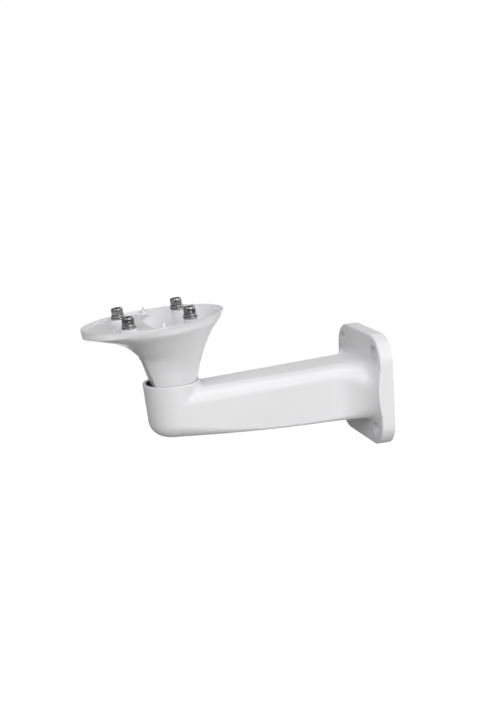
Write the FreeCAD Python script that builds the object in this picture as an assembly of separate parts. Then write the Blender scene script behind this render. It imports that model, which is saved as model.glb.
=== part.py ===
"""Wall bracket for a security camera: a hollow cast arm with a wall plate and a ball cup,
a trumpet-shaped head that pans and tilts in the cup, its clamp, and four camera screws.

Frame: the origin is the centre of the plate's wall face. The arm runs along -X, away from
the wall, and +Z is up. Millimetres. The head is modelled about the ball's centre, upright,
and then tilted into its rest pose.
"""
import FreeCAD, Part
import math
import os

V = FreeCAD.Vector
ORIGIN = V(0, 0, 0)
X_AXIS = V(1, 0, 0)
Y_AXIS = V(0, 1, 0)
Z_AXIS = V(0, 0, 1)

# Wall plate
PLATE_WIDTH = 99.0
PLATE_HEIGHT = 100.0
PLATE_THICKNESS = 12.2
PLATE_CORNER_R = 22.0
PLATE_EDGE_R = 1.6
BOLT_EDGE_Y = 14.0
BOLT_EDGE_Z = 15.0
BOLT_HOLE_R = 4.5
COUNTERBORE_R = 7.0
COUNTERBORE_DEPTH = 7.0

# Arm: heights above and below the middle line, and half widths, at the root and at the cup
CUP_REACH = 187.0
ROOT_TOP = 25.8
ROOT_BOTTOM = 27.0
TIP_TOP = 19.4
TIP_BOTTOM = 22.0
ROOT_HALF_WIDTH = 26.5
ARM_DRAFT = 3.6
TOP_CORNER_R = 11.0
BOTTOM_CORNER_R = 4.5
FLARE_R = 34.0
ROOT_FILLET_R = 5.0
ARM_WALL = 4.0

# Cup and collar
COLLAR_TOP = 26.0
COLLAR_WALL = 2.6
CUP_BOTTOM_R = 15.0
CUP_FLOOR = 4.0
RING_DEPTH = 8.0
LIP_R = 0.7
COLLAR_BLEND_R = 5.5
BLEND_SINK = 0.03
BOSS_R = 8.5
BOSS_TOP = 4.0

# Ball, its seat and its travel from upright
BALL_R = 24.7
BALL_RISE = 10.9
SEAT_CLEARANCE = 0.3
SEAT_LOWER_ANGLE = 46.0
BALL_WALL = 7.7
TILT_FORWARD = 33.0
TILT_BACK = 5.0
HEAD_TILT = 3.0
SLOT_CLEARANCE = 0.5
CABLE_SLOT_HALF_WIDTH = 9.0

# Trumpet head, measured from the ball's centre
RIM_HEIGHT = 46.4
RIM_CENTRE_X = -8.9
RIM_HALF_LENGTH = 62.4
RIM_HALF_WIDTH = 47.0
LIP_FRONT = 7.0
LIP_RISE = 11.5
LIP_DRAFT = 0.6
RIM_WALL = 2.2
TRAY_DEPTH = 2.0
HEAD_WALL = 3.6
HOLE_FRONT_X = -14.0
HOLE_LEAN = 5.0
HOLE_BOW = 3.2
HOLE_CORNER_R = 3.5
RIM_EDGE_R = 0.5
FLARE_ANGLE = 17.0
BALL_TOP_ANGLE = 30.0
BALL_STEP = 0.15
RELIEF_DEPTH = 5.3
RELIEF_REACH = 3.3
RELIEF_LEAN = 14.0
RELIEF_WALL = 2.4

# Stations of the head's flare from the neck up to the lip's lower edge, as shares of the way:
# front reach, front height, back reach, back height, half width. The lip's lower edge rises
# backwards and runs out at the rim, where the flare itself ends the wall.
TRUMPET = [
    (0.000, 0.000, 0.000, 0.000, 0.000),
    (0.019, 0.112, 0.054, 0.089, 0.050),
    (0.023, 0.220, 0.115, 0.178, 0.100),
    (0.028, 0.350, 0.201, 0.276, 0.190),
    (0.043, 0.470, 0.288, 0.383, 0.290),
    (0.108, 0.560, 0.374, 0.468, 0.390),
    (0.215, 0.670, 0.480, 0.562, 0.520),
    (0.390, 0.790, 0.614, 0.660, 0.665),
    (0.620, 0.885, 0.777, 0.753, 0.820),
    (0.830, 0.953, 0.900, 0.832, 0.935),
    (1.000, 1.000, 1.125, 1.000, 1.015),
]
FIRST_HOLLOW_STATION = 3

# Seats of the camera screws, and the locating nubs on the rim
SCREW_FRONT_X = -34.6
SCREW_BACK_X = 18.2
SCREW_HALF_SPACING = 24.7
SEAT_DROP = 0.1
FRONT_SEAT_R = 7.0
PILLAR_R = 5.4
NUB_OFFSET = 0.3
NUB_INSET = 5.4
NUB_HEIGHT = 3.0
NUB_R = 1.4
NUB_FOOT_R = 3.2
NUB_FOOT_HEIGHT = 3.6
RIB_X = -46.0
RIB_LENGTH = 34.0
RIB_WIDTH = 1.8
RIB_DROP = 0.7

# Socket screws: thread radius, head radius, head height, socket flats, socket depth
M6 = {"thread": 3.0, "head": 5.0, "height": 6.0, "flats": 5.0, "socket": 3.2}
M8 = {"thread": 4.0, "head": 6.5, "height": 8.0, "flats": 6.0, "socket": 4.2}
HEAD_CHAMFER = 0.6
CAMERA_SCREW_LENGTH = 16.0
THREAD_CLEARANCE = 0.1
HOLE_RUNOUT = 2.0

# Washers of the camera screws and of the clamp screw
WASHER_R = 6.2
WASHER_THICKNESS = 1.6
SPRING_R = 5.7
SPRING_THICKNESS = 1.6
SPRING_RISE = 0.6
CLAMP_WASHER_R = 8.0
CLAMP_WASHER_THICKNESS = 1.6
CLAMP_SPRING_R = 7.3
CLAMP_SPRING_THICKNESS = 2.0
CLAMP_SPRING_RISE = 0.6
WASHER_CLEARANCE = 0.3

# Clamp saddle inside the ball
SADDLE_HALF_X = 7.0
SADDLE_OVERLAP = 4.0
SADDLE_DROP = 1.0
SADDLE_THICKNESS = 6.0
SADDLE_HOLE_CLEARANCE = 0.3
CLAMP_ENGAGEMENT = 14.0

CUP_X = -CUP_REACH
BALL_Z = COLLAR_TOP + BALL_RISE
BALL_BORE_R = BALL_R - BALL_WALL
SEAT_SPHERE_R = BALL_R + SEAT_CLEARANCE
COLLAR_OUTER_R = math.sqrt(SEAT_SPHERE_R ** 2 - BALL_RISE ** 2) + COLLAR_WALL
THROAT_TOP = BALL_Z - SEAT_SPHERE_R * math.sin(math.radians(SEAT_LOWER_ANGLE))
SCREW_SEAT_Z = RIM_HEIGHT - SEAT_DROP
BIG = 400.0
OVERRUN = 1.0


def blend(start, end, share):
    return start + (end - start) * share


def cylinder(radius, height, x=0.0, y=0.0, z=0.0, axis=Z_AXIS):
    return Part.makeCylinder(radius, height, V(x, y, z), axis)


def cut_each(shape, tools):
    """Cut the tools from a shape one after another."""
    for tool in tools:
        shape = shape.cut(tool)
    return shape


def corner_arc(corner, before, after, radius):
    """The arc that rounds a corner between two neighbouring points."""
    back = (before - corner).normalize()
    ahead = (after - corner).normalize()
    turn = math.pi - back.getAngle(ahead)
    cut = radius * math.tan(turn / 2)
    middle = (back + ahead).normalize()
    reach = radius / math.cos(turn / 2) - radius
    start = corner + back * cut
    end = corner + ahead * cut
    return start, end, Part.Arc(start, corner + middle * reach, end).toShape()


def rounded_polygon(points, radii):
    """A closed wire through the points, each corner rounded by its own radius."""
    count = len(points)
    arcs = [corner_arc(points[i], points[i - 1], points[(i + 1) % count], radii[i])
            for i in range(count)]
    edges = []
    for i, (start, end, arc) in enumerate(arcs):
        edges.append(arc)
        edges.append(Part.LineSegment(end, arcs[(i + 1) % count][0]).toShape())
    return Part.Wire(edges)


def revolved(points_xz):
    """Turn a closed half outline of (radius, height) corners about the cup's axis."""
    corners = [V(CUP_X + r, 0, z) for r, z in points_xz]
    wire = Part.makePolygon(corners + [corners[0]])
    return Part.Face(wire).revolve(V(CUP_X, 0, 0), Z_AXIS, 360)


def fillet_rise(radius, distance):
    """How far a concave fillet has risen at a distance before its end."""
    if distance >= radius:
        return 0.0
    return radius - math.sqrt(radius ** 2 - (radius - distance) ** 2)


def arm_section(x, inset, flared):
    """The arm's cross-section at x, drawn in by the wall where it is the cable channel."""
    t = (x + CUP_REACH) / (CUP_REACH - PLATE_THICKNESS)
    before_plate = -PLATE_THICKNESS - x
    flare = fillet_rise(FLARE_R, before_plate) if flared else 0.0
    fillet = fillet_rise(ROOT_FILLET_R, before_plate) if flared else 0.0
    top = blend(TIP_TOP, ROOT_TOP, t) + fillet - inset
    bottom = blend(TIP_BOTTOM, ROOT_BOTTOM, t) + fillet - inset
    lean = math.tan(math.radians(ARM_DRAFT))
    tip_half_width = COLLAR_OUTER_R - lean * COLLAR_TOP
    half_width = blend(tip_half_width, ROOT_HALF_WIDTH, t) + flare - inset
    near_cup = max(0.0, 1 - (x + CUP_REACH) / (2 * COLLAR_OUTER_R))
    bottom_r = min(blend(BOTTOM_CORNER_R, CUP_BOTTOM_R, near_cup) + flare, bottom * 0.95) - inset
    top_r = min(TOP_CORNER_R + flare, top * 0.95) - inset
    low = half_width - lean * bottom
    high = half_width + lean * top
    points = [V(x, -low, -bottom), V(x, low, -bottom), V(x, high, top), V(x, -high, top)]
    bottom_r = max(bottom_r, 2.0)
    return rounded_polygon(points, [bottom_r, bottom_r, top_r, top_r])


def plate():
    """The wall plate: a rounded square slab."""
    w = PLATE_WIDTH / 2
    h = PLATE_HEIGHT / 2
    x = -PLATE_THICKNESS
    points = [V(x, -w, -h), V(x, w, -h), V(x, w, h), V(x, -w, h)]
    outline = rounded_polygon(points, [PLATE_CORNER_R] * 4)
    slab = Part.Face(outline).extrude(V(PLATE_THICKNESS, 0, 0))
    front = [e for e in slab.Edges if all(abs(v.X - x) < 0.01 for v in e.Vertexes)]
    return slab.makeFillet(PLATE_EDGE_R, front)


def plate_holes():
    """Four counterbored holes for the wall screws."""
    holes = []
    for side_y in (-1, 1):
        for side_z in (-1, 1):
            y = side_y * (PLATE_WIDTH / 2 - BOLT_EDGE_Y)
            z = side_z * (PLATE_HEIGHT / 2 - BOLT_EDGE_Z)
            through = PLATE_THICKNESS + 2 * OVERRUN
            holes.append(cylinder(BOLT_HOLE_R, through, -PLATE_THICKNESS - OVERRUN, y, z, X_AXIS))
            depth = FLARE_R + COUNTERBORE_DEPTH
            holes.append(cylinder(COUNTERBORE_R, depth, -PLATE_THICKNESS - FLARE_R, y, z, X_AXIS))
    return holes


def beam():
    """The arm's outside: a straight taper, then the flare, trimmed to the plate's sides."""
    root = -PLATE_THICKNESS
    flare_start = root - FLARE_R
    middle = blend(CUP_X, flare_start, 0.25)
    straight = [arm_section(x, 0.0, False) for x in (CUP_X, middle, flare_start)]
    angles = (0, 15, 30, 45, 60, 72, 82)
    stations = [root - FLARE_R * (1 - math.sin(math.radians(angle))) for angle in angles]
    flared = [arm_section(x, 0.0, True) for x in stations]
    stub = Part.Face(flared[-1]).extrude(V(PLATE_THICKNESS / 2, 0, 0))
    flare = Part.makeLoft(flared, True, False).fuse(stub)
    half = PLATE_WIDTH / 2
    between_sides = Part.makeBox(BIG, 2 * half, BIG, V(-BIG, -half, -BIG / 2))
    return Part.makeLoft(straight, True, False).fuse(flare.common(between_sides))


def cup_outside():
    """The turned outside of the cup: leaning wall, round bottom and collar."""
    low_r = COLLAR_OUTER_R - math.tan(math.radians(ARM_DRAFT)) * (COLLAR_TOP + TIP_BOTTOM)
    wall_top = V(CUP_X - COLLAR_OUTER_R, 0, COLLAR_TOP)
    corner = V(CUP_X - low_r, 0, -TIP_BOTTOM)
    bottom = V(CUP_X, 0, -TIP_BOTTOM)
    top = V(CUP_X, 0, COLLAR_TOP)
    start, end, arc = corner_arc(corner, bottom, wall_top, CUP_BOTTOM_R)
    edges = [Part.LineSegment(bottom, start).toShape(), arc,
             Part.LineSegment(end, wall_top).toShape(),
             Part.LineSegment(wall_top, top).toShape(),
             Part.LineSegment(top, bottom).toShape()]
    return Part.Face(Part.Wire(edges)).revolve(V(CUP_X, 0, 0), Z_AXIS, 360)


def cup_inside():
    """The ball's seat, the throat under it and the cable chamber round the clamp boss."""
    throat_r = SEAT_SPHERE_R * math.cos(math.radians(SEAT_LOWER_ANGLE))
    lean = math.tan(math.radians(ARM_DRAFT))
    chamber_top = THROAT_TOP - RING_DEPTH
    floor = -TIP_BOTTOM + CUP_FLOOR
    chamber_r = COLLAR_OUTER_R - lean * (COLLAR_TOP - chamber_top) - ARM_WALL
    floor_r = chamber_r - CUP_BOTTOM_R * 0.6
    chamber = revolved([
        (0.0, floor), (floor_r, floor), (chamber_r - 2.0, floor + CUP_BOTTOM_R * 0.6),
        (chamber_r, chamber_top), (throat_r, THROAT_TOP - RING_DEPTH / 3),
        (throat_r, THROAT_TOP + OVERRUN / 2), (0.0, THROAT_TOP + OVERRUN / 2)])
    boss = cylinder(BOSS_R, BOSS_TOP - floor + OVERRUN, CUP_X, 0, floor - OVERRUN)
    seat = Part.makeSphere(SEAT_SPHERE_R, V(CUP_X, 0, BALL_Z))
    return chamber.cut(boss).fuse(seat.common(cylinder(BIG, BIG, CUP_X, 0, THROAT_TOP)))


def cable_channel():
    """The hollow of the arm, from the cup's chamber to the opening in the wall face."""
    start = CUP_X + COLLAR_OUTER_R / 2
    sections = [arm_section(x, ARM_WALL, False) for x in (start, start / 2, OVERRUN)]
    channel = Part.makeLoft(sections, True, False)
    ring = cylinder(COLLAR_OUTER_R, BIG, CUP_X, 0, THROAT_TOP - RING_DEPTH)
    return channel.cut(ring)


def collar_edges(shape):
    """The collar's two top edges, inside and outside."""
    found = []
    for edge in shape.Edges:
        level = all(abs(v.Z - COLLAR_TOP) < 0.01 for v in edge.Vertexes)
        if level and hasattr(edge.Curve, "Radius") and abs(edge.BoundBox.ZLength) < 0.01:
            found.append(edge)
    return found


def collar_blend():
    """The concave blend where the collar rises from the top of the arm, as a ball would roll it."""
    lean = math.tan(math.radians(ARM_DRAFT))
    wall_r = COLLAR_OUTER_R - lean * (COLLAR_TOP - TIP_TOP)
    turn_y = wall_r - TOP_CORNER_R
    turn_z = TIP_TOP - TOP_CORNER_R
    radius = min(COLLAR_BLEND_R, COLLAR_TOP - TIP_TOP - LIP_R)
    reach = radius - BLEND_SINK
    places = [(y, 0.0) for y in (0.0, turn_y / 2)]
    places += [(turn_y, math.radians(angle)) for angle in (0, 12, 24, 36, 48, 60, 70)]
    mirrored = [(-y, -angle) for y, angle in reversed(places[1:])]
    sections = []
    for y, angle in mirrored + places:
        up = V(0, math.sin(angle), math.cos(angle))
        side_y = y + (TOP_CORNER_R + reach) * up.y
        centre_x = math.sqrt((wall_r + reach) ** 2 - side_y ** 2)
        rise = (centre_x - wall_r) * (ROOT_TOP - TIP_TOP) / CUP_REACH
        centre = V(centre_x, side_y, turn_z + (TOP_CORNER_R + reach) * up.z + rise)
        wall = V(-centre.x, -centre.y, 0).normalize()
        on_wall = centre + wall * radius
        on_arm = centre - up * radius
        middle = centre + (wall - up).normalize() * radius
        root = middle + (wall - up).normalize() * radius
        edges = [Part.Arc(on_wall, middle, on_arm).toShape(),
                 Part.LineSegment(on_arm, root).toShape(), Part.LineSegment(root, on_wall).toShape()]
        sections.append(Part.Wire(edges))
    blend_solid = Part.makeLoft(sections, True, False)
    blend_solid.translate(V(CUP_X, 0, 0))
    return blend_solid


def arm():
    """The one-piece casting: plate, flared arm, cup and collar, bored for cable and clamp."""
    body = plate().fuse([beam(), cup_outside()]).removeSplitter()
    body = body.fuse(collar_blend())
    thread = cylinder(M8["thread"] + THREAD_CLEARANCE, CLAMP_ENGAGEMENT + HOLE_RUNOUT, CUP_X, 0,
                      BOSS_TOP - CLAMP_ENGAGEMENT - HOLE_RUNOUT)
    body = body.cut([cable_channel(), cup_inside(), thread] + plate_holes())
    return body.makeFillet(LIP_R, collar_edges(body))


def oval(front, back, half_width, count=24):
    """A closed oval wire through a front and a back point, both given as (x, z)."""
    points = []
    for i in range(count):
        angle = 2 * math.pi * i / count
        share = (1 + math.cos(angle)) / 2
        points.append(V(blend(front[0], back[0], share), half_width * math.sin(angle),
                        blend(front[1], back[1], share)))
    curve = Part.BSplineCurve()
    curve.interpolate(Points=points, PeriodicFlag=True)
    return Part.Wire(curve.toShape())


def rim_oval(z, inset):
    front = RIM_CENTRE_X - RIM_HALF_LENGTH + inset
    back = RIM_CENTRE_X + RIM_HALF_LENGTH - inset
    return oval((front, z), (back, z), RIM_HALF_WIDTH - inset)


def trumpet_ovals(inset):
    """Ovals of the head's flare, from the neck to the lip, drawn in by a wall thickness."""
    neck_z = -BALL_R * math.sin(math.radians(FLARE_ANGLE))
    neck_r = BALL_R * math.cos(math.radians(FLARE_ANGLE))
    front_reach = RIM_HALF_LENGTH - RIM_CENTRE_X - LIP_DRAFT
    back_reach = RIM_HALF_LENGTH + RIM_CENTRE_X - LIP_DRAFT
    ovals = []
    for angle, step in ((BALL_TOP_ANGLE, BALL_STEP), ((BALL_TOP_ANGLE + FLARE_ANGLE) / 2, 0.0)):
        # The lowest oval lies a little inside the ball, so that the two surfaces cross cleanly
        r = BALL_R * math.cos(math.radians(angle)) - step - inset
        z = -BALL_R * math.sin(math.radians(angle))
        ovals.append(oval((-r, z), (r, z), r))
    for front, front_up, back, back_up, side in TRUMPET:
        front_point = (-blend(neck_r, front_reach, front) + inset,
                       blend(neck_z, RIM_HEIGHT - LIP_FRONT, front_up))
        back_point = (blend(neck_r, back_reach, back) - inset,
                      blend(neck_z, RIM_HEIGHT - LIP_FRONT + LIP_RISE, back_up))
        half_width = blend(neck_r, RIM_HALF_WIDTH - LIP_DRAFT, side) - inset
        ovals.append(oval(front_point, back_point, half_width))
    return ovals


def lip(lower_edge, inset):
    """The upright lip above the flare's last oval, carried on past the rim's plane."""
    front, front_up, back, back_up, side = TRUMPET[-1]
    z = RIM_HEIGHT + LIP_RISE
    draft = LIP_DRAFT * (z - RIM_HEIGHT + LIP_FRONT) / LIP_FRONT
    low_front = RIM_CENTRE_X - RIM_HALF_LENGTH + LIP_DRAFT
    neck_r = BALL_R * math.cos(math.radians(FLARE_ANGLE))
    low_back = blend(neck_r, RIM_HALF_LENGTH + RIM_CENTRE_X - LIP_DRAFT, back)
    half_width = blend(neck_r, RIM_HALF_WIDTH - LIP_DRAFT, side) + draft - inset
    top = oval((low_front - draft + inset, z), (low_back + draft - inset, z), half_width)
    return Part.makeLoft([lower_edge, top], True, True)


def flare_with_lip(ovals, inset):
    """The flare through the ovals and the lip above it, sewn along the oval they share."""
    shared = Part.Face(ovals[-1]).CenterOfMass
    faces = []
    for solid in (Part.makeLoft(ovals, True, False), lip(ovals[-1], inset)):
        faces += [face for face in solid.Faces if face.Surface.TypeId != "Part::GeomPlane"
                  or face.CenterOfMass.distanceToPoint(shared) > OVERRUN]
    shell = Part.makeShell(faces)
    shell.sewShape()
    return Part.Solid(shell)


def above_rim():
    return Part.makeBox(BIG, BIG, BIG, V(-BIG / 2, -BIG / 2, RIM_HEIGHT))


def head_outside():
    """The flare, its upright lip, and the ball that it grows from, cut level at the rim."""
    top = -BALL_R * math.sin(math.radians(BALL_TOP_ANGLE))
    below = Part.makeBox(BIG, BIG, BIG, V(-BIG / 2, -BIG / 2, top - BIG))
    ball = Part.makeSphere(BALL_R).common(below)
    return ball.fuse(flare_with_lip(trumpet_ovals(0.0), 0.0).cut(above_rim()))


def behind_front_wall():
    """All the space behind the hole's front wall, which leans, bows and has rounded corners."""
    z = RIM_HEIGHT + 2 * OVERRUN
    side = RIM_HALF_WIDTH - HEAD_WALL
    turn_y = side - HOLE_CORNER_R
    back_x = HOLE_FRONT_X + HOLE_CORNER_R
    slant = HOLE_CORNER_R * math.sqrt(0.5)
    halfway = V(back_x - slant, turn_y + slant, z)
    edges = [Part.Arc(V(HOLE_FRONT_X, -turn_y, z), V(HOLE_FRONT_X - HOLE_BOW, 0, z),
                      V(HOLE_FRONT_X, turn_y, z)).toShape()]
    for turn in (1, -1):
        start = V(HOLE_FRONT_X, turn * turn_y, z)
        middle = V(halfway.x, turn * halfway.y, z)
        end = V(back_x, turn * side, z)
        edges.append(Part.Arc(start, middle, end).toShape())
    corners = [V(back_x, side, z), V(back_x, BIG, z), V(BIG, BIG, z), V(BIG, -BIG, z),
               V(back_x, -BIG, z), V(back_x, -side, z)]
    edges += [Part.LineSegment(one, two).toShape() for one, two in zip(corners, corners[1:])]
    outline = Part.Wire(Part.__sortEdges__(edges))
    return Part.Face(outline).extrude(V(-HOLE_LEAN, 0, -z - BALL_BORE_R))


def cable_hole():
    """The deep hole behind the tray, narrowing to the hollow of the ball."""
    neck_r = BALL_BORE_R - 2 * OVERRUN
    neck_z = -BALL_BORE_R / 4
    neck = oval((-neck_r, neck_z), (neck_r, neck_z), neck_r)
    ovals = trumpet_ovals(HEAD_WALL)
    first = len(ovals) - len(TRUMPET) + FIRST_HOLLOW_STATION
    hollow = flare_with_lip([neck] + ovals[first:], HEAD_WALL).common(behind_front_wall())
    return hollow.cut(before_relief(RELIEF_WALL))


def tray():
    """The shallow pocket inside the rim."""
    low = rim_oval(RIM_HEIGHT - TRAY_DEPTH, RIM_WALL)
    return Part.makeLoft([low, rim_oval(RIM_HEIGHT + OVERRUN, RIM_WALL)], True, True)


def inner_rim_edge(shape):
    """The rim's top edge on the tray's side."""
    return [edge for edge in shape.Edges if edge.isClosed()
            and all(abs(v.Z - RIM_HEIGHT) < 0.01 for v in edge.Vertexes)
            and abs(edge.valueAt(edge.FirstParameter).z - RIM_HEIGHT) < 0.01]


def before_relief(wall):
    """All the space in front of the relief's flat, or of a plane a wall's thickness behind it."""
    block = Part.makeBox(BIG, BIG, BIG, V(-BIG - BALL_R + RELIEF_DEPTH + wall, -BIG / 2, -BIG / 2))
    block.rotate(ORIGIN, Y_AXIS, -RELIEF_LEAN)
    return block


def relief():
    """The flat cut on the front of the neck that clears the collar when the head tilts."""
    return before_relief(0.0).common(Part.makeSphere(BALL_R + RELIEF_REACH))


def clamp_slot():
    """The wide slot through the bottom of the ball, for the clamp screw's travel and the cable."""
    low = -BALL_R - OVERRUN
    high = -math.sqrt(BALL_BORE_R ** 2 - CABLE_SLOT_HALF_WIDTH ** 2) + OVERRUN
    half = CABLE_SLOT_HALF_WIDTH
    spare = math.degrees(math.asin((M8["thread"] + SLOT_CLEARANCE) / BALL_BORE_R))
    corners = [V(0, -half, low), V(0, half, low), V(0, half, high), V(0, -half, high)]
    profile = Part.Face(Part.makePolygon(corners + [corners[0]]))
    profile.rotate(ORIGIN, Y_AXIS, -TILT_BACK - spare)
    return profile.revolve(ORIGIN, Y_AXIS, TILT_FORWARD + TILT_BACK + 2 * spare)


def screw_places():
    """Where the four camera screws stand, front pair first."""
    return [(x, side * SCREW_HALF_SPACING) for x in (SCREW_FRONT_X, SCREW_BACK_X) for side in (1, -1)]


def seats(outside):
    """Front seats on the tray, and pillars in the cable hole, kept inside the casting."""
    solids = []
    for x, y in screw_places():
        if x < HOLE_FRONT_X:
            solids.append(cylinder(FRONT_SEAT_R, TRAY_DEPTH + OVERRUN - SEAT_DROP, x, y,
                                   RIM_HEIGHT - TRAY_DEPTH - OVERRUN))
        else:
            pillar = cylinder(PILLAR_R, SCREW_SEAT_Z, x, y, 0)
            solids.append(pillar.common(outside))
    return solids


def nubs():
    """Two locating nubs on the rim, each on a small round foot."""
    solids = []
    nub_x = RIM_CENTRE_X + NUB_OFFSET
    for side in (1, -1):
        y = side * (RIM_HALF_WIDTH - NUB_INSET)
        foot = V(nub_x, y, RIM_HEIGHT - NUB_FOOT_HEIGHT)
        solids.append(Part.makeCone(NUB_FOOT_R, NUB_R, NUB_FOOT_HEIGHT, foot))
        solids.append(Part.makeCone(NUB_R, NUB_R * 0.8, NUB_HEIGHT, V(nub_x, y, RIM_HEIGHT)))
    return solids


def tray_rib():
    """The low rib that crosses the front of the tray."""
    depth = TRAY_DEPTH + OVERRUN
    corner = V(RIB_X - RIB_WIDTH / 2, -RIB_LENGTH / 2, RIM_HEIGHT - depth)
    return Part.makeBox(RIB_WIDTH, RIB_LENGTH, depth - RIB_DROP, corner)


def screw_holes():
    depth = CAMERA_SCREW_LENGTH + HOLE_RUNOUT - WASHER_THICKNESS - SPRING_THICKNESS - SPRING_RISE
    radius = M6["thread"] + THREAD_CLEARANCE
    return [cylinder(radius, depth + OVERRUN, x, y, SCREW_SEAT_Z - depth) for x, y in screw_places()]


def head():
    """The trumpet casting, upright about the ball's centre."""
    outside = head_outside()
    body = cut_each(outside, [cable_hole(), tray(), Part.makeSphere(BALL_BORE_R)])
    body = body.makeFillet(RIM_EDGE_R, inner_rim_edge(body))
    body = body.fuse(seats(outside) + nubs() + [tray_rib()])
    return cut_each(body, screw_holes() + [relief(), clamp_slot()])


def hex_prism(flats, height, z):
    corner_r = flats / math.sqrt(3)
    points = [V(corner_r * math.cos(i * math.pi / 3), corner_r * math.sin(i * math.pi / 3), z)
              for i in range(6)]
    return Part.Face(Part.makePolygon(points + [points[0]])).extrude(V(0, 0, height))


def socket_screw(size, length):
    """A socket head screw standing on z = 0, its shank below."""
    head_solid = cylinder(size["head"], size["height"])
    rim = [e for e in head_solid.Edges
           if abs(e.BoundBox.ZMin - size["height"]) < 0.01 and e.BoundBox.ZLength < 0.01]
    head_solid = head_solid.makeChamfer(HEAD_CHAMFER, rim)
    socket = hex_prism(size["flats"], size["socket"] + OVERRUN, size["height"] - size["socket"])
    shank = cylinder(size["thread"], length + OVERRUN, 0, 0, -length)
    return head_solid.cut(socket).fuse(shank)


def ring(inner_r, outer_r, thickness, z=0.0):
    return cylinder(outer_r, thickness, 0, 0, z).cut(cylinder(inner_r, thickness, 0, 0, z))


def spring_washer(inner_r, outer_r, thickness, rise):
    """A split washer whose ends stand apart, swept up one turn of a helix."""
    middle = (inner_r + outer_r) / 2
    helix = Part.makeHelix(rise, rise * 0.96, middle)
    corners = [V(inner_r, 0, 0), V(outer_r, 0, 0), V(outer_r, 0, thickness), V(inner_r, 0, thickness)]
    profile = Part.makePolygon(corners + [corners[0]])
    return Part.Wire(helix).makePipeShell([profile], True, True)


def place_head(shape):
    """Move a piece of the head from the ball's own frame to its rest pose."""
    shape.rotate(ORIGIN, Y_AXIS, -HEAD_TILT)
    shape.translate(V(CUP_X, 0, BALL_Z))
    return shape


def camera_fixings():
    """The four camera screws with their spring washers and plain washers."""
    pieces = {}
    bore = M6["thread"] + WASHER_CLEARANCE
    for number, (x, y) in enumerate(screw_places(), start=1):
        z = SCREW_SEAT_Z
        plain = ring(bore, WASHER_R, WASHER_THICKNESS)
        plain.translate(V(x, y, z))
        z += WASHER_THICKNESS
        spring = spring_washer(bore, SPRING_R, SPRING_THICKNESS, SPRING_RISE)
        spring.translate(V(x, y, z))
        z += SPRING_THICKNESS + SPRING_RISE
        screw = socket_screw(M6, CAMERA_SCREW_LENGTH)
        screw.translate(V(x, y, z))
        pieces[f"plain_washer_{number}"] = place_head(plain)
        pieces[f"spring_washer_{number}"] = place_head(spring)
        pieces[f"camera_screw_{number}"] = place_head(screw)
    return pieces


def clamp_pieces():
    """The saddle, washers and screw that pull the ball down into its seat."""
    saddle_r = BALL_BORE_R - SEAT_CLEARANCE
    z = -math.sqrt(BALL_BORE_R ** 2 - CABLE_SLOT_HALF_WIDTH ** 2) - SADDLE_DROP
    half_y = CABLE_SLOT_HALF_WIDTH + SADDLE_OVERLAP
    block = Part.makeBox(2 * SADDLE_HALF_X, 2 * half_y, SADDLE_THICKNESS,
                         V(-SADDLE_HALF_X, -half_y, z))
    saddle = block.common(Part.makeSphere(saddle_r))
    bore = M8["thread"] + SADDLE_HOLE_CLEARANCE
    saddle = saddle.cut(cylinder(bore, SADDLE_THICKNESS + 2 * OVERRUN, 0, 0, z - OVERRUN))
    z += SADDLE_THICKNESS
    washer = ring(bore, CLAMP_WASHER_R, CLAMP_WASHER_THICKNESS, z)
    z += CLAMP_WASHER_THICKNESS
    spring = spring_washer(bore, CLAMP_SPRING_R, CLAMP_SPRING_THICKNESS, CLAMP_SPRING_RISE)
    spring.translate(V(0, 0, z))
    z += CLAMP_SPRING_THICKNESS + CLAMP_SPRING_RISE
    length = BALL_Z + z - BOSS_TOP + CLAMP_ENGAGEMENT
    screw = socket_screw(M8, length)
    screw.translate(V(0, 0, z))
    pieces = {"clamp_saddle": saddle, "clamp_washer": washer, "clamp_spring_washer": spring,
              "clamp_screw": screw}
    for shape in pieces.values():
        shape.translate(V(CUP_X, 0, BALL_Z))
    return pieces


def build():
    pieces = {"arm": arm(), "head": place_head(head())}
    pieces.update(clamp_pieces())
    pieces.update(camera_fixings())
    return pieces


if __name__ == "__main__":
    os.makedirs("parts", exist_ok=True)
    for name, shape in build().items():
        print(name, shape.isValid(), len(shape.Solids), round(shape.Volume))
        shape.exportStep(f"parts/{name}.step")
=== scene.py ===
"""The looks of a wall bracket for a security camera.

White powder-coated castings, bright socket screws with knurled heads and rolled threads, and a
plain white studio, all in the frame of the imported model. Lengths are in metres, except the sizes
of the screws and of their holes, and the arguments that end in _mm, which are in millimetres.
"""
import bpy
import bmesh
import math
from mathutils import Matrix, Vector


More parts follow.
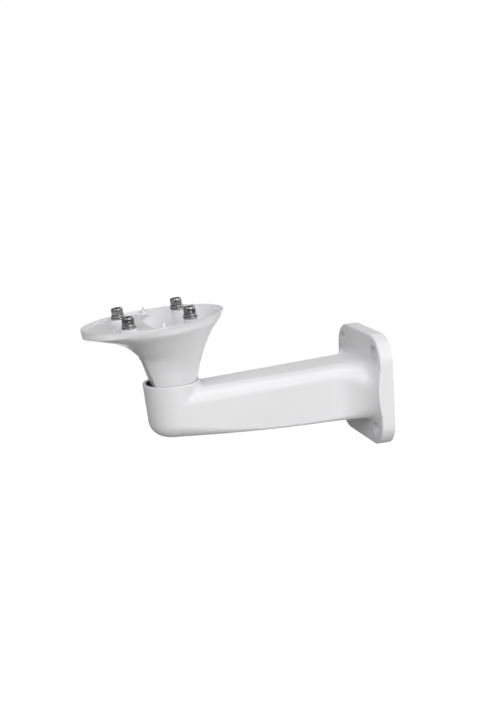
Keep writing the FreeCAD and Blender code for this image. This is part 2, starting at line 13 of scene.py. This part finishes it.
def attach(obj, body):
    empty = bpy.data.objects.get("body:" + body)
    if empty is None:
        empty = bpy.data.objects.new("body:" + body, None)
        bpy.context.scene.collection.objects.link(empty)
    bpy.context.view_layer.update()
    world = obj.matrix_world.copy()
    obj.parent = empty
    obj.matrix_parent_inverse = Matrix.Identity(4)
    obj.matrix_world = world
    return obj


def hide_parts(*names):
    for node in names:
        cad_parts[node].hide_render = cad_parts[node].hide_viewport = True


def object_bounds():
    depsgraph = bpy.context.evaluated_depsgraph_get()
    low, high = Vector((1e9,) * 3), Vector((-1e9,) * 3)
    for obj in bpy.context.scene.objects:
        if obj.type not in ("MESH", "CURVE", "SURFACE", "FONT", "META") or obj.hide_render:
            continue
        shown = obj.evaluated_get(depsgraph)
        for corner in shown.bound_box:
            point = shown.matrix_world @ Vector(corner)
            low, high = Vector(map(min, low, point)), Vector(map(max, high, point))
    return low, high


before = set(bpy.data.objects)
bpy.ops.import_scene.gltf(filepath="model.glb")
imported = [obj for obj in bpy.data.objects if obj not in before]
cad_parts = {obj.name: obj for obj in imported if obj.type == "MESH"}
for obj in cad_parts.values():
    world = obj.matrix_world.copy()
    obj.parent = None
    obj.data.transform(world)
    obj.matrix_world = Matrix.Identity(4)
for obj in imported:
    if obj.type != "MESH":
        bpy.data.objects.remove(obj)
cad_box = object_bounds()

MM = 0.001
BLACK = (0.0, 0.0, 0.0, 1)
WHITE = (1.0, 1.0, 1.0, 1)

# The head and all that it carries lean forward by this much at rest
HEAD_LEAN = math.radians(3.0)

# The ball's centre, the seat's radius about it, and the upper edge of the cup's collar
BALL_CENTRE = (-0.187, 0.0, 0.0369)
SEAT_R = 0.0254
COLLAR_TOP = 0.026

# The seat is painted near-black as shade for the dark gap under the collar. This painted shade
# fades out over this width beyond its radius, and between these depths under the collar's edge
SEAT_FADE = 0.2 * MM
SEAT_EDGE_LOW = 0.6 * MM
SEAT_EDGE_HIGH = 0.3 * MM

# The small step on the arm's flank beside the collar: its middle on the flank that faces +y,
# which way that flank faces, how far the smooth shading reaches, how far beyond that it looks
# for the arm's skin, the width of its blur, and how steeply it fades in from its rim
STEP_PLACE = (-0.1782, 0.0232, 0.0152)
FLANK_FACES = (0.27, 0.96, 0.08)
STEP_REACH = 10.0 * MM
STEP_MARGIN = 4 * MM
STEP_BLUR = 2.2 * MM
STEP_FADE = 3
# A face is smoothed where the cosine of its angle to the flank is over the first of these, and
# lends its direction where it is over the second
SMOOTHED_OVER = -0.5
LENDS_OVER = 0.8

# Edges sharper than this are kept sharp, or rounded by a hair on the washers and the saddle
SHARP_ANGLE = math.radians(32)
WELD_REACH = 0.002 * MM
WASHER_EDGE_MM = 0.15
CLAMP_EDGE_MM = 0.2

# Socket screws: radius over the thread and over the head, height of the head, width across the
# socket's flats and its depth, pitch of the thread, and number of the knurl's ridges
M6 = {"thread": 3.0, "head": 5.0, "height": 6.0, "flats": 5.0, "socket": 3.2, "pitch": 1.0,
      "ridges": 48}
M8 = {"thread": 4.0, "head": 6.5, "height": 8.0, "flats": 6.0, "socket": 4.2, "pitch": 1.25,
      "ridges": 60}
CAMERA_SCREWS = (1, 2, 3, 4)

# The head of any socket screw: how far its plain side lies inside its radius, the rounding of its
# shoulder, and its lower edge as pairs of height and inset
SIDE_INSET = 0.08
SHOULDER = 0.9
SHOULDER_STEPS = 6
LOWER_EDGE = ((0.0, 0.35), (0.25, 0.08), (0.5, 0.0))

# Its socket: how much wider and how deep the mouth's bevel is, and the cone of the drill's point
# as pairs of depth under the floor and radius
MOUTH_WIDER = 0.15
MOUTH_BEVEL = 0.3
DRILL_POINT = ((0.9, 0.4), (1.0, 0.05))

# Its shank: the chamfer at the tip, and where it widens from the thread's core under the head
TIP_CHAMFER = 0.7
CORE_ENDS = 0.9
NECK_STARTS = 0.5
NECK_FILLET = 0.1

# Its knurl: a ridge's radius, how far its middle lies inside the head's radius, where the ridges
# start above the seat, and how much of the head's side they leave free in all
KNURL_RIDGE = 0.2
KNURL_INSET = 0.12
KNURL_STARTS = 0.6
KNURL_LEAVES = 0.9

# Its thread: depth and ridge as shares of the pitch, how far the ridge's middle lies outside the
# core, where the thread starts above the tip, what it leaves free, and the longest that is wound
THREAD_DEPTH = 0.61
THREAD_RIDGE = 0.5
THREAD_LIFT = 0.08
THREAD_STARTS = 0.6
THREAD_LEAVES = 2.2
THREAD_LONGEST = 20.0
STEPS_A_TURN = 32

# The screw holes at the front of the rim end close to the flare's skin. Each gets a thin floor:
# the play round the screw, the hole's depth past its tip, the floor's side as pairs of height
# and inset, and its top as height and radius
FRONT_SCREWS = (1, 2)
HOLE_PLAY = 0.12
HOLE_RUNOUT = 2.0
FLOOR_SIDE = ((0.04, 0.35), (0.3, 0.0), (1.2, 0.0), (1.25, 0.1))
FLOOR_TOP = (1.27, 0.05)

# Sides: of what is turned on the lathe, and of the thread's and the knurl's ridges
LATHE_SIDES = 48
THREAD_SIDES = 3
KNURL_SIDES = 4

# Keeps a vector's x and y, and drops its z
LEVEL = (1, 1, 0)


class Value:
    """A number or vector that varies over a surface. Arithmetic on it adds Math nodes."""

    def __init__(self, finish, socket):
        self.finish = finish
        self.socket = socket

    def math(self, operation, *inputs):
        return self.finish.node("ShaderNodeMath", {"operation": operation}, inputs)

    def __add__(self, other):
        return self.math("ADD", self, other)

    def __radd__(self, other):
        return self.math("ADD", other, self)

    def __rsub__(self, other):
        return self.math("SUBTRACT", other, self)

    def __mul__(self, other):
        return self.math("MULTIPLY", self, other)

    def __rmul__(self, other):
        return self.math("MULTIPLY", other, self)

    def between(self, low, high):
        """0 at low and 1 at high, and clamped outside."""
        return self.finish.node("ShaderNodeMapRange", {"clamp": True}, (self, low, high, 0.0, 1.0))


class Finish:
    """A material, and the nodes that feed its surface shader."""

    def __init__(self, name, **surface):
        self.material = bpy.data.materials.new(name)
        self.material.use_nodes = True
        self.tree = self.material.node_tree
        self.surface = self.tree.nodes["Principled BSDF"]
        for socket, value in surface.items():
            self.set(socket.replace("_", " "), value)

    def set(self, socket, value):
        """Set or link one socket of the surface shader, named in lower case."""
        names = {name.lower(): name for name in self.surface.inputs.keys()}
        self.join(self.surface.inputs[names[socket]], value)

    def join(self, socket, value):
        """Link a value to a socket, or set the socket to a plain number or colour."""
        if isinstance(value, Value):
            self.tree.links.new(value.socket, socket)
        else:
            socket.default_value = value

    def node(self, kind, settings=None, inputs=(), output=0):
        """Add a node. Its inputs are given in order, or by name; its output by place or name."""
        made = self.tree.nodes.new(kind)
        for key, value in (settings or {}).items():
            setattr(made, key, value)
        pairs = inputs.items() if isinstance(inputs, dict) else enumerate(inputs)
        for key, value in pairs:
            self.join(made.inputs[key], value)
        return Value(self, made.outputs[output])

    def place(self):
        """Where a point is on the object, in metres."""
        return self.node("ShaderNodeTexCoord", output="Object")

    def height(self):
        """How high a point is on the object, in metres."""
        return self.node("ShaderNodeSeparateXYZ", inputs=(self.place(),), output="Z")

    def noise(self, size_mm, detail):
        """Soft random spots of about this size, around 0.5."""
        return self.node("ShaderNodeTexNoise", {"noise_dimensions": "3D"},
                         {"Vector": self.place(), "Scale": 1 / (size_mm * MM), "Detail": detail})

    def mix(self, share, low, high):
        """The low colour where the share is 0, and the high one where it is 1.

        Sockets are found by place, because those for numbers and colours have the same names.
        """
        return self.node("ShaderNodeMix", {"data_type": "RGBA"},
                         {0: share, 6: low, 7: high}, output=2)

    def bump(self, height, depth_mm, below=None):
        """Turn a height of 0 to 1 into a surface that rises by the depth."""
        inputs = {"Height": height, "Distance": depth_mm * MM, "Strength": 1.0}
        if below is not None:
            inputs["Normal"] = below
        return self.node("ShaderNodeBump", inputs=inputs)


def powder_coat(name, shade_mask=None):
    """Smooth white powder coat: a slight orange peel, a fine grain and a soft gloss.

    Where the mask, a function of the finish, is 1, the colour turns near-black: painted shade.
    """
    coat = Finish(name, ior=1.5, specular_ior_level=0.5)
    cloud = coat.noise(size_mm=60.0, detail=1.0)
    peel = coat.noise(size_mm=1.8, detail=1.0)
    grain = coat.noise(size_mm=0.35, detail=1.0)
    colour = coat.mix(cloud, low=(0.80, 0.80, 0.812, 1), high=(0.83, 0.83, 0.84, 1))
    if shade_mask:
        # Near-black painted shade where the mask is 1
        colour = coat.mix(shade_mask(coat), low=colour, high=(0.012, 0.012, 0.012, 1))
    coat.set("base color", colour)
    coat.set("roughness", 0.28 + 0.06 * peel + 0.05 * cloud)
    coat.set("normal", coat.bump(grain, depth_mm=0.004, below=coat.bump(peel, depth_mm=0.016)))
    return coat.material


def painted_seat_shade(coat):
    """1 on the seat inside the collar, which is painted near-black as shade, and 0 elsewhere."""
    apart = coat.node("ShaderNodeVectorMath", {"operation": "DISTANCE"},
                      (coat.place(), BALL_CENTRE), output="Value")
    beyond = apart.between(SEAT_R, SEAT_R + SEAT_FADE)
    above = coat.height().between(COLLAR_TOP - SEAT_EDGE_LOW, COLLAR_TOP - SEAT_EDGE_HIGH)
    return (1 - beyond) * (1 - above)


def bright_steel():
    """Bright plated screw steel, with a fine grain and faint smears."""
    steel = Finish("bright_steel", metallic=1.0)
    smear = steel.noise(size_mm=3.0, detail=3.0)
    grain = steel.noise(size_mm=0.12, detail=1.0)
    steel.set("base color",
              steel.mix(smear, low=(0.30, 0.30, 0.305, 1), high=(0.46, 0.46, 0.465, 1)))
    steel.set("roughness", 0.06 + 0.06 * smear)
    steel.set("normal", steel.bump(grain, depth_mm=0.002))
    return steel.material


def zinc_plate():
    """Dull zinc-plated steel for the clamp's hidden pieces."""
    zinc = Finish("zinc_plate", metallic=1.0)
    spangle = zinc.noise(size_mm=2.5, detail=3.0)
    zinc.set("base color",
             zinc.mix(spangle, low=(0.50, 0.51, 0.53, 1), high=(0.62, 0.63, 0.64, 1)))
    zinc.set("roughness", 0.30 + 0.12 * spangle)
    zinc.set("normal", zinc.bump(spangle, depth_mm=0.004))
    return zinc.material


def paper():
    """White paper that glows evenly, as a lit tent does."""
    sheet = Finish("white_paper", roughness=1.0, emission_strength=1.0)
    sheet.set("base color", BLACK)
    sheet.set("emission color", WHITE)
    return sheet.material


def new_object(name, data):
    """An object of this mesh, camera or lamp, in the scene."""
    made = bpy.data.objects.new(name, data)
    bpy.context.scene.collection.objects.link(made)
    return made


def turned(name, rings, material, unit):
    """A closed piece turned about the z axis, through rings from low to high.

    A ring is a height, and a radius or a function from an angle to a radius. The unit that they
    are given in is told in metres.
    """
    shape = bmesh.new()
    loops = []
    for height, radius in rings:
        loop = []
        for i in range(LATHE_SIDES):
            angle = 2 * math.pi * i / LATHE_SIDES
            reach = (radius(angle) if callable(radius) else radius) * unit
            loop.append(shape.verts.new(
                (reach * math.cos(angle), reach * math.sin(angle), height * unit)))
        loops.append(loop)
    for low, high in zip(loops, loops[1:]):
        for i in range(LATHE_SIDES):
            j = (i + 1) % LATHE_SIDES
            shape.faces.new((low[i], low[j], high[j], high[i]))
    shape.faces.new(reversed(loops[0]))
    shape.faces.new(loops[-1])
    bmesh.ops.recalc_face_normals(shape, faces=shape.faces)
    mesh = bpy.data.meshes.new(name)
    shape.to_mesh(mesh)
    shape.free()
    mesh.materials.append(material)
    return new_object(name, mesh)


def quarter_round(radius, steps):
    """Points along a quarter circle, as pairs of distances from its two tangents.

    The first distance shrinks from the radius to 0, while the second grows from 0 to the radius.
    """
    for i in range(steps + 1):
        turn = math.pi / 2 * i / steps
        yield radius * (1 - math.sin(turn)), radius * (1 - math.cos(turn))


def hexagon(flats):
    """The radius of a hexagon at an angle."""
    def radius(angle):
        from_flat = (angle % (math.pi / 3)) - math.pi / 6
        return flats / 2 / math.cos(from_flat)
    return radius


def core_radius(size):
    """The radius of a screw's shank between the ridges of its thread."""
    return size["thread"] - THREAD_DEPTH * size["pitch"]


def screw_rings(size, length):
    """The rings of a socket screw, in millimetres, whose head is seated on height 0."""
    core = core_radius(size)
    side = size["head"] - SIDE_INSET
    top = size["height"]
    shank = [(-length, core - TIP_CHAMFER), (-length + TIP_CHAMFER, core), (-CORE_ENDS, core),
             (-NECK_STARTS, size["thread"]), (0.0, size["thread"] + NECK_FILLET)]
    head = [(height, side - inset) for height, inset in LOWER_EDGE]
    head += [(top - drop, side - inset) for drop, inset in quarter_round(SHOULDER, SHOULDER_STEPS)]
    floor = top - size["socket"]
    socket = [(top, size["flats"] / math.sqrt(3) + MOUTH_WIDER),
              (top - MOUTH_BEVEL, hexagon(size["flats"])), (floor, hexagon(size["flats"]))]
    socket += [(floor - depth, radius) for depth, radius in DRILL_POINT]
    return shank + head + socket


def group_inputs(tree, names):
    """Give a node group one geometry input, its sizes, and one geometry output."""
    tree.interface.new_socket("Geometry", in_out="INPUT", socket_type="NodeSocketGeometry")
    for name, kind in names.items():
        tree.interface.new_socket(name, in_out="INPUT", socket_type=kind)
    tree.interface.new_socket("Geometry", in_out="OUTPUT", socket_type="NodeSocketGeometry")
    return tree.nodes.new("NodeGroupInput"), tree.nodes.new("NodeGroupOutput")


def add(tree, kind, inputs=None, **settings):
    """Add a geometry node with its settings, values and links."""
    node = tree.nodes.new(kind)
    for key, value in settings.items():
        setattr(node, key, value)
    for key, value in (inputs or {}).items():
        if isinstance(value, bpy.types.NodeSocket):
            tree.links.new(value, node.inputs[key])
        else:
            node.inputs[key].default_value = value
    return node


def lifted(tree, geometry, height):
    """Move geometry up by a height."""
    lift = add(tree, "ShaderNodeCombineXYZ", {"Z": height})
    return add(tree, "GeometryNodeTransform",
               {"Geometry": geometry, "Translation": lift.outputs[0]}).outputs[0]


def finish_group(tree, source, output, geometry):
    """Join the made geometry to what came in, realize it and set its material."""
    joined = tree.nodes.new("GeometryNodeJoinGeometry")
    for socket in (source.outputs["Geometry"], geometry):
        tree.links.new(socket, joined.inputs[0])
    real = add(tree, "GeometryNodeRealizeInstances", {"Geometry": joined.outputs[0]})
    dressed = add(tree, "GeometryNodeSetMaterial",
                  {"Geometry": real.outputs[0], "Material": source.outputs["Material"]})
    tree.links.new(dressed.outputs[0], output.inputs[0])


def knurl_tree():
    """Straight knurling: small upright ridges that stand in a circle."""
    tree = bpy.data.node_groups.new("knurl", "GeometryNodeTree")
    source, output = group_inputs(tree, {
        "Radius": "NodeSocketFloat", "Height": "NodeSocketFloat", "Middle": "NodeSocketFloat",
        "Ridge": "NodeSocketFloat", "Count": "NodeSocketInt", "Material": "NodeSocketMaterial"})
    circle = add(tree, "GeometryNodeMeshCircle",
                 {"Vertices": source.outputs["Count"], "Radius": source.outputs["Radius"]})
    raised = lifted(tree, circle.outputs[0], source.outputs["Middle"])
    ridge = add(tree, "GeometryNodeMeshCylinder",
                {"Vertices": KNURL_SIDES, "Radius": source.outputs["Ridge"],
                 "Depth": source.outputs["Height"]})
    place = add(tree, "GeometryNodeInputPosition")
    outward = add(tree, "ShaderNodeVectorMath", {0: place.outputs[0], 1: LEVEL},
                  operation="MULTIPLY")
    turn = add(tree, "FunctionNodeAlignRotationToVector", {"Vector": outward.outputs[0]},
               axis="X", pivot_axis="Z")
    ridges = add(tree, "GeometryNodeInstanceOnPoints",
                 {"Points": raised, "Instance": ridge.outputs["Mesh"],
                  "Rotation": turn.outputs[0]})
    finish_group(tree, source, output, ridges.outputs[0])
    return tree


def thread_tree():
    """A rolled thread: a triangular ridge that winds up the shank."""
    tree = bpy.data.node_groups.new("thread", "GeometryNodeTree")
    source, output = group_inputs(tree, {
        "Core": "NodeSocketFloat", "Ridge": "NodeSocketFloat", "Bottom": "NodeSocketFloat",
        "Length": "NodeSocketFloat", "Turns": "NodeSocketFloat", "Material": "NodeSocketMaterial"})
    spiral = add(tree, "GeometryNodeCurveSpiral",
                 {"Resolution": STEPS_A_TURN, "Rotations": source.outputs["Turns"],
                  "Start Radius": source.outputs["Core"], "End Radius": source.outputs["Core"],
                  "Height": source.outputs["Length"]})
    raised = lifted(tree, spiral.outputs[0], source.outputs["Bottom"])
    upright = add(tree, "GeometryNodeSetCurveNormal", {"Curve": raised}, mode="Z_UP")
    profile = add(tree, "GeometryNodeCurvePrimitiveCircle",
                  {"Resolution": THREAD_SIDES, "Radius": source.outputs["Ridge"]})
    wound = add(tree, "GeometryNodeCurveToMesh",
                {"Curve": upright.outputs[0], "Profile Curve": profile.outputs[0],
                 "Fill Caps": True})
    flat = add(tree, "GeometryNodeSetShadeSmooth",
               {"Geometry": wound.outputs[0], "Shade Smooth": False})
    finish_group(tree, source, output, flat.outputs[0])
    return tree


def apply_tree(piece, tree, **sizes):
    """Run a node group on a piece and keep the result as its plain mesh."""
    modifier = piece.modifiers.new(tree.name, "NODES")
    modifier.node_group = tree
    for item in tree.interface.items_tree:
        if item.in_out == "INPUT" and item.name in sizes:
            modifier[item.identifier] = sizes[item.name]
    bpy.context.view_layer.update()
    evaluated = piece.evaluated_get(bpy.context.evaluated_depsgraph_get())
    made = bpy.data.meshes.new_from_object(evaluated)
    piece.modifiers.clear()
    old = piece.data
    piece.data = made
    bpy.data.meshes.remove(old)


def place_of(node, lean, size):
    """Where a model's screw sits, for one that is built upright with its head on height 0.

    Gives the matrix that takes it there, and the length of its shank in millimetres.
    """
    upright = Matrix.Rotation(lean, 3, "Y")
    points = [upright @ v.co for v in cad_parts[node].data.vertices]
    low = [min(p[i] for p in points) for i in range(3)]
    high = [max(p[i] for p in points) for i in range(3)]
    seat = Vector(((low[0] + high[0]) / 2, (low[1] + high[1]) / 2, high[2] - size["height"] * MM))
    length = (seat.z - low[2]) / MM
    return Matrix.Rotation(-lean, 4, "Y") @ Matrix.Translation(seat), length


def socket_screw(node, body, size, lean, material, trees):
    """A socket screw with a knurled head and a wound thread, in the place of its node."""
    place, length = place_of(node, lean, size)
    piece = turned(node + "_detail", screw_rings(size, length), material, unit=MM)
    piece.data.shade_smooth()
    piece.data.set_sharp_from_angle(angle=SHARP_ANGLE)
    knurl, thread = trees
    height = size["height"] - SHOULDER - KNURL_LEAVES
    apply_tree(piece, knurl, Radius=(size["head"] - KNURL_INSET) * MM, Height=height * MM,
               Middle=(KNURL_STARTS + height / 2) * MM, Ridge=KNURL_RIDGE * MM,
               Count=size["ridges"], Material=material)
    run = min(length - THREAD_LEAVES, THREAD_LONGEST)
    apply_tree(piece, thread, Core=(core_radius(size) + THREAD_LIFT) * MM,
               Ridge=THREAD_RIDGE * size["pitch"] * MM, Bottom=(THREAD_STARTS - length) * MM,
               Length=run * MM, Turns=run / size["pitch"], Material=material)
    piece.data.transform(place)
    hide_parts(node)
    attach(piece, body)


def weld(node):
    """Join the loose triangles of a model node."""
    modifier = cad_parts[node].modifiers.new("weld", "WELD")
    modifier.merge_threshold = WELD_REACH


def round_edges(node, width_mm):
    """Round the sharp edges of a welded model node by a hair."""
    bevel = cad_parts[node].modifiers.new("round", "BEVEL")
    bevel.width = width_mm * MM
    bevel.segments = 2
    bevel.limit_method = "ANGLE"
    bevel.angle_limit = SHARP_ANGLE
    bevel.harden_normals = True


def dress(node, material):
    """Give a model node its finish, and weld it."""
    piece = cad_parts[node]
    piece.data.materials.clear()
    piece.data.materials.append(material)
    weld(node)


def hole_floor(number, coat):
    """A thin floor of paint at the foot of a screw hole that ends close to the flare's skin."""
    place, length = place_of(f"camera_screw_{number}", HEAD_LEAN, M6)
    foot = -length - HOLE_RUNOUT
    wall = M6["thread"] + HOLE_PLAY
    rings = [(foot + height, wall - inset) for height, inset in FLOOR_SIDE]
    height, radius = FLOOR_TOP
    piece = turned(f"hole_floor_{number}", rings + [(foot + height, radius)], coat, unit=MM)
    piece.data.transform(place)
    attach(piece, "head_body")


def shade_step(mesh, side):
    """Shade the step where the collar's blend runs out on one of the arm's flanks as one surface.

    The side is 1 for the flank that faces +y and -1 for the other.
    """
    outward = Vector((FLANK_FACES[0], FLANK_FACES[1] * side, FLANK_FACES[2])).normalized()
    middle = Vector((STEP_PLACE[0], STEP_PLACE[1] * side, STEP_PLACE[2]))
    normals = [corner.vector.copy() for corner in mesh.corner_normals]
    skin = []
    near = []
    for face in mesh.polygons:
        if (face.center - middle).length > STEP_REACH + STEP_MARGIN:
            continue
        along = face.normal.dot(outward)
        for corner in face.loop_indices:
            place = mesh.vertices[mesh.loops[corner].vertex_index].co
            if (place - middle).length < STEP_REACH and along > SMOOTHED_OVER:
                near.append((corner, place))
            if along > LENDS_OVER:
                skin.append((place, face.area * normals[corner]))
    soft = list(normals)
    for corner, place in near:
        total = Vector((0, 0, 0))
        for other, weight in skin:
            total += math.exp(-((place - other).length / STEP_BLUR) ** 2) * weight
        share = min(1.0, STEP_FADE * (1 - (place - middle).length / STEP_REACH))
        soft[corner] = normals[corner].lerp(total.normalized(), share).normalized()
    mesh.normals_split_custom_set(soft)


def arm_casting(coat):
    """The arm's own mesh, with smooth shading over the two small steps beside the collar."""
    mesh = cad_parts["arm"].data.copy()
    for side in (-1, 1):
        shade_step(mesh, side)
    mesh.materials.clear()
    mesh.materials.append(coat)
    piece = new_object("arm_casting", mesh)
    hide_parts("arm")
    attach(piece, "arm_body")


def castings():
    """The arm and the head, in their coats."""
    head_coat = powder_coat("white_powder_coat")
    # The arm's coat has near-black painted shade on the ball's seat inside the collar
    arm_casting(powder_coat("white_coat_painted_seat_shade", painted_seat_shade))
    dress("head", head_coat)
    for number in FRONT_SCREWS:
        hole_floor(number, head_coat)


def fixings(steel, zinc):
    """The camera's screws with their washers on the rim, and the clamp inside the ball."""
    trees = (knurl_tree(), thread_tree())
    for number in CAMERA_SCREWS:
        socket_screw(f"camera_screw_{number}", "head_body", M6, HEAD_LEAN, steel,
                     trees)
        for kind in ("plain_washer", "spring_washer"):
            dress(f"{kind}_{number}", steel)
            round_edges(f"{kind}_{number}", WASHER_EDGE_MM)
    socket_screw("clamp_screw", "arm_body", M8, 0.0, zinc, trees)
    for node in ("clamp_washer", "clamp_spring_washer", "clamp_saddle"):
        dress(node, zinc)
        round_edges(node, CLAMP_EDGE_MM)


# Camera: where it looks, from where, how it is rolled, its lens and sensor in millimetres, and
# how far it sees
LOOK_AT = Vector((-0.11319, 0.03812, 0.02716))
CAMERA_AZIMUTH = math.radians(-15.61)
CAMERA_ELEVATION = math.radians(12.96)
CAMERA_ROLL = math.radians(4.10)
CAMERA_DISTANCE = 1.0184
CAMERA_LENS = 55.473
SENSOR = 36.0
CAMERA_SEES = 20.0

# Studio lights: azimuth and elevation in degrees, size in metres and power in watts
LIGHTS = {
    "front": (0, 12, 0.9, 4.2),
    "right_front": (30, 12, 0.9, 6.7),
    "right": (90, 10, 0.9, 6.8),
    "window": (-47, 32, 0.9, 8.6),
    "left_low": (-70, 8, 0.9, 1.4),
    "above": (28, 60, 0.6, 5.4),
    "top": (-30, 80, 0.9, 2.4),
    "floor_bounce": (12, -28, 0.9, 4.3),
    "back": (155, 35, 0.9, 3.4),
    "back_low": (165, -15, 0.9, 6.0),
    "back_left": (-135, 30, 0.9, 1.2),
}
LIGHT_DISTANCE = 1.6
ROOM_LIGHT = 0.14

# The tent: its radius and the height of its wall, the bend from floor to wall, the rise of its
# roof, the radius that it closes to, and how far its floor lies under the model
TENT_RADIUS = 4.0
TENT_HEIGHT = 5.0
TENT_BEND = 1.5
TENT_BEND_STEPS = 8
TENT_ROOF = 1.0
TENT_CLOSES = 0.01
FLOOR_DROP = 0.40


def direction(azimuth, elevation):
    """The unit vector from the object to a viewer at an azimuth and elevation."""
    return Vector((math.sin(azimuth) * math.cos(elevation),
                   -math.cos(azimuth) * math.cos(elevation), math.sin(elevation)))


def facing(place, back, roll=0.0):
    """The matrix of a camera or lamp at a place, with its back to a direction."""
    right = Vector((-back.y, back.x, 0)).normalized()
    up = back.cross(right)
    rolled_right = math.cos(roll) * right - math.sin(roll) * up
    rolled_up = math.sin(roll) * right + math.cos(roll) * up
    matrix = Matrix((rolled_right, rolled_up, back)).transposed().to_4x4()
    matrix.translation = place
    return matrix


def camera():
    """The camera, at the photograph's viewing angle."""
    data = bpy.data.cameras.new("camera")
    data.sensor_fit = "VERTICAL"
    data.sensor_height = SENSOR
    data.lens = CAMERA_LENS
    data.clip_end = CAMERA_SEES
    made = new_object("camera", data)
    back = direction(CAMERA_AZIMUTH, CAMERA_ELEVATION)
    made.matrix_world = facing(LOOK_AT + CAMERA_DISTANCE * back, back, CAMERA_ROLL)
    bpy.context.scene.camera = made


def lights():
    """Square soft lights round the object, which the camera doesn't see."""
    for name, (azimuth, elevation, size, power) in LIGHTS.items():
        data = bpy.data.lights.new(name, "AREA")
        data.shape = "SQUARE"
        data.size = size
        data.energy = power
        lamp = new_object(name, data)
        back = direction(math.radians(azimuth), math.radians(elevation))
        lamp.matrix_world = facing(LOOK_AT + LIGHT_DISTANCE * back, back)
        lamp.visible_camera = False


def tent():
    """A round tent of white paper: the floor curves up into the wall and closes overhead."""
    floor = cad_box[0][2] - FLOOR_DROP
    rings = [(floor, TENT_CLOSES)]
    rings += [(floor + rise, TENT_RADIUS - inset)
              for inset, rise in quarter_round(TENT_BEND, TENT_BEND_STEPS)]
    rings += [(floor + TENT_HEIGHT, TENT_RADIUS), (floor + TENT_HEIGHT + TENT_ROOF, TENT_CLOSES)]
    made = turned("paper_tent", rings, paper(), unit=1.0)
    for ray in ("diffuse", "glossy", "transmission", "shadow"):
        setattr(made, "visible_" + ray, False)


def studio():
    """A dim even room with the tent in it."""
    world = bpy.data.worlds.new("dim_room")
    world.use_nodes = True
    background = world.node_tree.nodes["Background"]
    background.inputs["Color"].default_value = WHITE
    background.inputs["Strength"].default_value = ROOM_LIGHT
    bpy.context.scene.world = world
    bpy.context.scene.view_settings.view_transform = "Standard"
    tent()


castings()
fixings(bright_steel(), zinc_plate())
camera()
lights()
studio()
